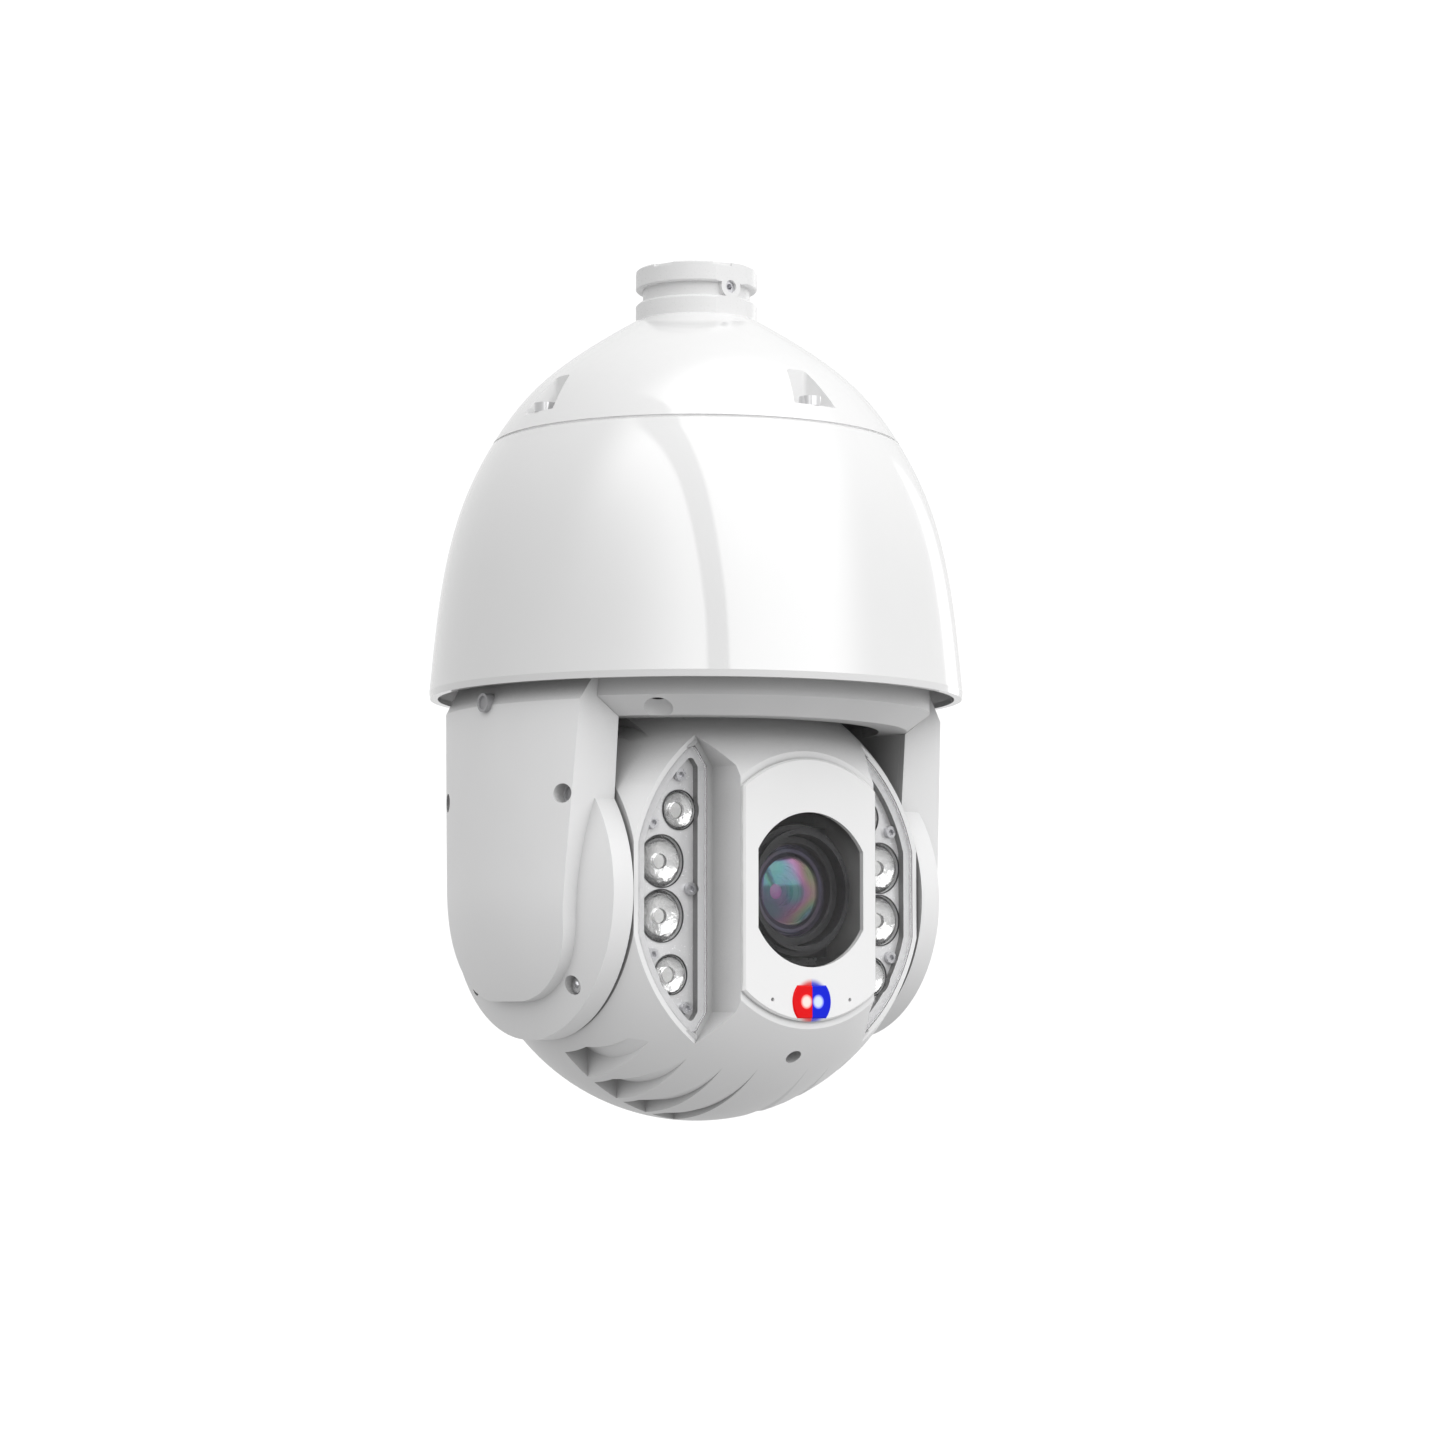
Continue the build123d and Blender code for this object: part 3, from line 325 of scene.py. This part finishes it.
def let_light_in(tree, shader):
    """Glass that is seen as glass, but doesn't shade what lies behind it."""
    path = tree.nodes.new("ShaderNodeLightPath")
    open_way = tree.nodes.new("ShaderNodeBsdfTransparent")
    mix = tree.nodes.new("ShaderNodeMixShader")
    shadow = path.outputs["Is Shadow Ray"]
    unseen = Numbers(tree).math("MAXIMUM", shadow, path.outputs["Is Diffuse Ray"])
    tree.links.new(unseen, mix.inputs["Fac"])
    tree.links.new(shader.outputs[0], mix.inputs[1])
    tree.links.new(open_way.outputs[0], mix.inputs[2])
    tree.links.new(mix.outputs[0], tree.nodes["Material Output"].inputs["Surface"])


def distance_from(tree, node, point):
    """Distance in millimetres from a point that stays put on a CAD node."""
    fixed = node.matrix_world.inverted() @ Vector(point)
    place = tree.nodes.new("ShaderNodeTexCoord")
    measure = tree.nodes.new("ShaderNodeVectorMath")
    measure.operation = "DISTANCE"
    tree.links.new(place.outputs["Object"], measure.inputs[0])
    measure.inputs[1].default_value = fixed
    return Numbers(tree).math("MULTIPLY", measure.outputs["Value"], 1.0 / MM)


def strobe_lens(name, colour, glow, node, lamp):
    """A moulded lens lit from behind: pale over its lamp, deeply coloured further out."""
    material, tree, shader = start_material(name)
    away = distance_from(tree, node, lamp)
    reach = Numbers(tree).ramp(away, LAMP_CORE, LAMP_REACH)
    lit = colour_between(tree, reach, glow, colour)
    tree.links.new(lit, shader.inputs["Base Color"])
    tree.links.new(lit, shader.inputs["Emission Color"])
    strength = Numbers(tree).ramp(away, LAMP_CORE, LAMP_REACH, 0.75, 0.5)
    tree.links.new(strength, shader.inputs["Emission Strength"])
    shader.inputs["Roughness"].default_value = 0.2
    shader.inputs["Specular IOR Level"].default_value = 0.2
    return material


def bezel_paint(name, node, centre):
    """White gloss plastic, with the strobe's red and blue light showing softly around its lens."""
    material = surface(name, (0.90, 0.90, 0.90), 0.01, (0.12, 0.18), 1500, (0.03, 0.0001), coat=0.6)
    tree = material.node_tree
    shader = tree.nodes["Principled BSDF"]
    white = shader.inputs["Base Color"].links[0].from_socket
    halo = Numbers(tree).ramp(distance_from(tree, node, centre), HALO_END, HALO_START)
    # the side that is nearer the red lamp glows red
    to_red = distance_from(tree, node, strobe_at(-HALO_END))
    to_blue = distance_from(tree, node, strobe_at(HALO_END))
    difference = Numbers(tree).math("SUBTRACT", to_red, to_blue)
    nearer_blue = Numbers(tree).ramp(difference, -0.6, 0.6)
    glow = colour_between(tree, nearer_blue, STROBE_RED, STROBE_BLUE)
    mix = tree.nodes.new("ShaderNodeMixRGB")
    tree.links.new(halo, mix.inputs["Fac"])
    tree.links.new(white, mix.inputs["Color1"])
    tree.links.new(glow, mix.inputs["Color2"])
    tree.links.new(mix.outputs[0], shader.inputs["Base Color"])
    tree.links.new(glow, shader.inputs["Emission Color"])
    tree.links.new(Numbers(tree).math("MULTIPLY", halo, 0.35), shader.inputs["Emission Strength"])
    return material


def painted_light_rim(name):
    """The gasket behind each infrared cover, with a painted highlight on its front and painted shade down
    its sides.
    """
    material = surface(name, (0.72, 0.72, 0.73), 0.02, (0.28, 0.36), 1500, (0.05, 0.0001))
    tree = material.node_tree
    shader = tree.nodes["Principled BSDF"]
    place = tree.nodes.new("ShaderNodeTexCoord")
    split = tree.nodes.new("ShaderNodeSeparateXYZ")
    tree.links.new(place.outputs["Normal"], split.inputs[0])
    facing = Numbers(tree).math("ABSOLUTE", split.outputs["Y"])
    # painted highlight and painted shade: faces that point forward are light, faces that point sideways are
    # dark
    painted_light_tone = colour_between(tree, facing, (0.22, 0.22, 0.22), (0.78, 0.78, 0.79))
    tree.links.new(painted_light_tone, shader.inputs["Base Color"])
    return material


def coated_lens(name, colour, transmission):
    """Lens glass with a thin coating that colours its reflections, uneven in thickness."""
    material, tree, shader = start_material(name)
    drift = noise_on_object(tree, COATING_SCALE, 1.0)
    low = tuple(c * 0.8 for c in colour)
    tree.links.new(colour_between(tree, drift.outputs["Fac"], low, colour), shader.inputs["Base Color"])
    thickness = number_between(tree, drift.outputs["Fac"], 330.0, 560.0)
    tree.links.new(thickness, shader.inputs["Thin Film Thickness"])
    shader.inputs["Thin Film IOR"].default_value = 1.9
    shader.inputs["Roughness"].default_value = 0.01
    shader.inputs["IOR"].default_value = 1.6
    shader.inputs["Transmission Weight"].default_value = transmission
    if transmission > 0:
        let_light_in(tree, shader)
    return material


# each opaque finish: colour, how much the colour drifts, roughness from and to, how fine the grain is,
# the grain's bump (strength, distance); then, where there is any, metallic, gloss coat, painted shade in
# creases
FINISHES = {
    "white_shell": ((0.80, 0.80, 0.80), 0.01, (0.20, 0.26), 900, (0.03, 0.0001), 0.0, 1.0),
    "white_metal": ((0.80, 0.80, 0.80), 0.02, (0.26, 0.34), 1400, (0.08, 0.0001)),
    # grey_shell and grey_casting carry painted shade in their creases (their last number)
    "grey_shell": ((0.86, 0.86, 0.862), 0.02, (0.30, 0.40), 2200, (0.08, 0.0001), 0.0, 0.0, 0.5),
    "grey_casting": ((0.76, 0.76, 0.762), 0.03, (0.38, 0.48), 1800, (0.10, 0.0001), 0.0, 0.0, 0.4),
    "grey_rubber": ((0.40, 0.40, 0.41), 0.04, (0.55, 0.7), 1500, (0.2, 0.0001)),
    "black_rubber": ((0.03, 0.03, 0.03), 0.1, (0.5, 0.65), 1500, (0.2, 0.0001)),
    "black_plastic": ((0.025, 0.025, 0.028), 0.1, (0.35, 0.5), 1800, (0.1, 0.0001)),
    "barrel_black": ((0.012, 0.012, 0.014), 0.1, (0.4, 0.55), 1800, (0.1, 0.0001)),
    "motor_black": ((0.05, 0.05, 0.055), 0.08, (0.3, 0.42), 900, (0.1, 0.0001)),
    "cast_aluminium": ((0.62, 0.63, 0.64), 0.06, (0.4, 0.55), 900, (0.3, 0.0002), 1.0),
    "bearing_steel": ((0.75, 0.75, 0.77), 0.03, (0.12, 0.2), 1200, (0.05, 0.0001), 1.0),
    "shaft_steel": ((0.68, 0.68, 0.70), 0.04, (0.2, 0.3), 1600, (0.1, 0.0001), 1.0),
    "steel": ((0.62, 0.62, 0.64), 0.05, (0.25, 0.35), 1400, (0.1, 0.0001), 1.0),
    "zinc": ((0.66, 0.67, 0.68), 0.06, (0.25, 0.4), 1400, (0.12, 0.0001), 1.0),
    "brass_gear": ((0.72, 0.55, 0.26), 0.06, (0.25, 0.38), 1400, (0.1, 0.0001), 1.0),
    "reflector": ((0.86, 0.86, 0.87), 0.02, (0.2, 0.28), 1200, (0.05, 0.0001), 0.3),
    "gear_plastic": ((0.80, 0.79, 0.73), 0.03, (0.4, 0.5), 1400, (0.1, 0.0001)),
    "circuit_board": ((0.03, 0.16, 0.07), 0.12, (0.3, 0.45), 700, (0.15, 0.0001)),
    "seam_white": ((0.92, 0.92, 0.92), 0.02, (0.4, 0.5), 1200, (0.05, 0.0001)),
    "white_board": ((0.80, 0.80, 0.79), 0.03, (0.3, 0.4), 1200, (0.05, 0.0001)),
    "band_grey": ((0.16, 0.16, 0.17), 0.05, (0.3, 0.4), 1800, (0.05, 0.0001)),
    "cup_chrome": ((0.92, 0.92, 0.92), 0.02, (0.05, 0.30), 260, (0.9, 0.0008), 1.0),
    "chrome": ((0.80, 0.80, 0.81), 0.02, (0.08, 0.14), 1200, (0.03, 0.0001), 1.0),
}


def make_materials():
    """One material for each of the record's slots, and a few for what is added here."""
    made = {name: surface(name, *finish) for name, finish in FINISHES.items()}
    made["white_bezel"] = bezel_paint("white_bezel", nodes["front_bezel"], strobe_at(0.0))
    made["painted_light_rim"] = painted_light_rim("painted_light_rim")
    made["clear_glass"] = clear("clear_glass", (0.97, 0.97, 0.97), (0.0, 0.01), 1.25)
    made["clear_lens"] = clear("clear_lens", (1.0, 1.0, 1.0), (0.0, 0.02), 1.6)
    made["coated_glass"] = coated_lens("coated_glass", (0.80, 0.72, 0.92), 1.0)
    # painted reflection: the opaque inner glass takes a pink base colour in place of the pink highlight
    # that its coating reflects
    made["inner_lens"] = coated_lens("inner_lens", (0.40, 0.10, 0.28), 0.0)
    red, blue = nodes["strobe_lens_red"], nodes["strobe_lens_blue"]
    made["red_lens"] = strobe_lens("red_lens", STROBE_RED, PALE_RED, red, strobe_at(-LAMP_X))
    made["blue_lens"] = strobe_lens("blue_lens", STROBE_BLUE, PALE_BLUE, blue, strobe_at(LAMP_X))
    return made


def dress(materials):
    """Every CAD node takes the material of its slot in the record, except those in SEEN_AS."""
    for part in frame["record"]["subparts"]:
        mesh = nodes[part["node"]].data
        mesh.materials.clear()
        mesh.materials.append(materials[SEEN_AS.get(part["node"], part["material_slot"])])


# ---- pieces added for looks -----------------------------------------------------------
def turn(mesh, outline, x=0.0, height=0.0, steps=96):
    """Adds a closed outline of (radius, Y) corners, turned about a line along Y, in millimetres."""
    rings = []
    for radius, y in outline:
        count = 1 if radius == 0 else steps
        ring = []
        for i in range(count):
            angle = 2 * math.pi * i / count
            across = (x + radius * math.cos(angle)) * MM
            along = TILT_Z + (height + radius * math.sin(angle)) * MM
            ring.append(mesh.verts.new((across, y * MM, along)))
        rings.append(ring)
    for first, second in zip(rings, rings[1:] + rings[:1]):
        if len(first) == 1 and len(second) == 1:
            continue
        for i in range(steps):
            corners = [first[i % len(first)], first[(i + 1) % len(first)],
                       second[(i + 1) % len(second)], second[i % len(second)]]
            mesh.faces.new(list(dict.fromkeys(corners)))


def add_piece(name, mesh, material, replaced=()):
    """Makes the mesh a piece of the tilting head."""
    bmesh.ops.recalc_face_normals(mesh, faces=mesh.faces)
    for edge in mesh.edges:
        edge.smooth = edge.calc_face_angle(0.0) < math.radians(30)
    for face in mesh.faces:
        face.smooth = True
    data = bpy.data.meshes.new(name)
    mesh.to_mesh(data)
    mesh.free()
    data.materials.append(material)
    piece = bpy.data.objects.new(name, data)
    bpy.context.scene.collection.objects.link(piece)
    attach(piece, "tilt_head")
    for node in replaced:
        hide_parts(node)
    return piece


def arc_points(radius, crown, rim, count):
    """Points of a shallow dome's outline, from its crown on the axis out to its rim."""
    sag = rim - crown
    dome_r = (radius ** 2 + sag ** 2) / (2 * sag)
    half = math.asin(radius / dome_r)
    points = []
    for i in range(count + 1):
        angle = half * i / count
        points.append((dome_r * math.sin(angle), crown + dome_r * (1 - math.cos(angle))))
    points[0] = (0.0, crown)
    return points


def make_camera_lens(materials):
    """The zoom lens seen through the window: front glass, its retainer, stepped baffle and inner glass."""
    outer = arc_points(LENS_R, LENS_CROWN, LENS_RIM, 20)
    inner = arc_points(LENS_R - LENS_T, LENS_CROWN + LENS_T, LENS_RIM, 20)
    front = bmesh.new()
    turn(front, outer + inner[::-1])
    add_piece("front_lens", front, materials["coated_glass"], ["front_element"])
    retainer = bmesh.new()
    turn(retainer, [(LENS_R + 0.1, LENS_RIM + 0.6), (LENS_R + 0.1, LENS_RIM - 2.6),
                    (LENS_R + 0.6, LENS_RIM - 3.2), (BARREL_R, LENS_RIM - 3.2), (BARREL_R, LENS_RIM + 0.6)])
    add_piece("lens_retainer", retainer, materials["barrel_black"])
    # each step drops down a wall and then runs inwards along a ledge
    corners = []
    for radius, place in BAFFLE_STEPS:
        if corners:
            corners.append((corners[-1][0], place))
        corners.append((radius, place))
    widest = BAFFLE_STEPS[0][0]
    throat, shelf = BAFFLE_STEPS[1]
    deepest, place = BAFFLE_STEPS[-1]
    corners += [(deepest, BAFFLE_FOOT), (throat + BAFFLE_T, BAFFLE_FOOT),
                (throat + BAFFLE_T, shelf + BAFFLE_T), (widest, shelf + BAFFLE_T)]
    baffle = bmesh.new()
    turn(baffle, corners)
    add_piece("lens_baffle", baffle, materials["motor_black"])
    band = bmesh.new()
    turn(band, [(throat + 0.2, shelf), (throat + 0.2, shelf - 0.3), (throat + 1.4, shelf - 0.3),
                (throat + 1.4, shelf)])
    add_piece("lens_band", band, materials["band_grey"])
    pupil = bmesh.new()
    turn(pupil, arc_points(deepest - 0.05, place - 0.8, place + 0.2, 8)
         + [(deepest - 0.05, BAFFLE_FOOT), (0.0, BAFFLE_FOOT)])
    add_piece("inner_lens", pupil, materials["inner_lens"])


def make_lamp_cups(materials):
    """A bright cup behind each infrared lens, and a dark rim round it."""
    cups = bmesh.new()
    rims = bmesh.new()
    for side in (-1, 1):
        for x, height, radius in LAMPS:
            wall = radius + CUP_WALL
            bore = radius + 0.1
            inside = radius + 0.05
            cup = [(CUP_HOLE, CUP_FACE), (bore, CUP_FACE), (bore, CUP_LIP), (wall, CUP_LIP),
                   (wall, CUP_BACK), (CUP_HOLE, CUP_BACK)]
            rim = [(inside, RIM_BACK), (wall, RIM_BACK), (wall, RIM_FRONT), (inside, RIM_FRONT)]
            turn(cups, cup, side * x, height, 48)
            turn(rims, rim, side * x, height, 64)
    add_piece("lamp_cups", cups, materials["cup_chrome"])
    add_piece("lamp_rims", rims, materials["black_plastic"])


make_camera()
make_world()
make_floor()
materials = make_materials()
dress(materials)
make_camera_lens(materials)
make_lamp_cups(materials)
bpy.context.scene.view_settings.view_transform = "Standard"
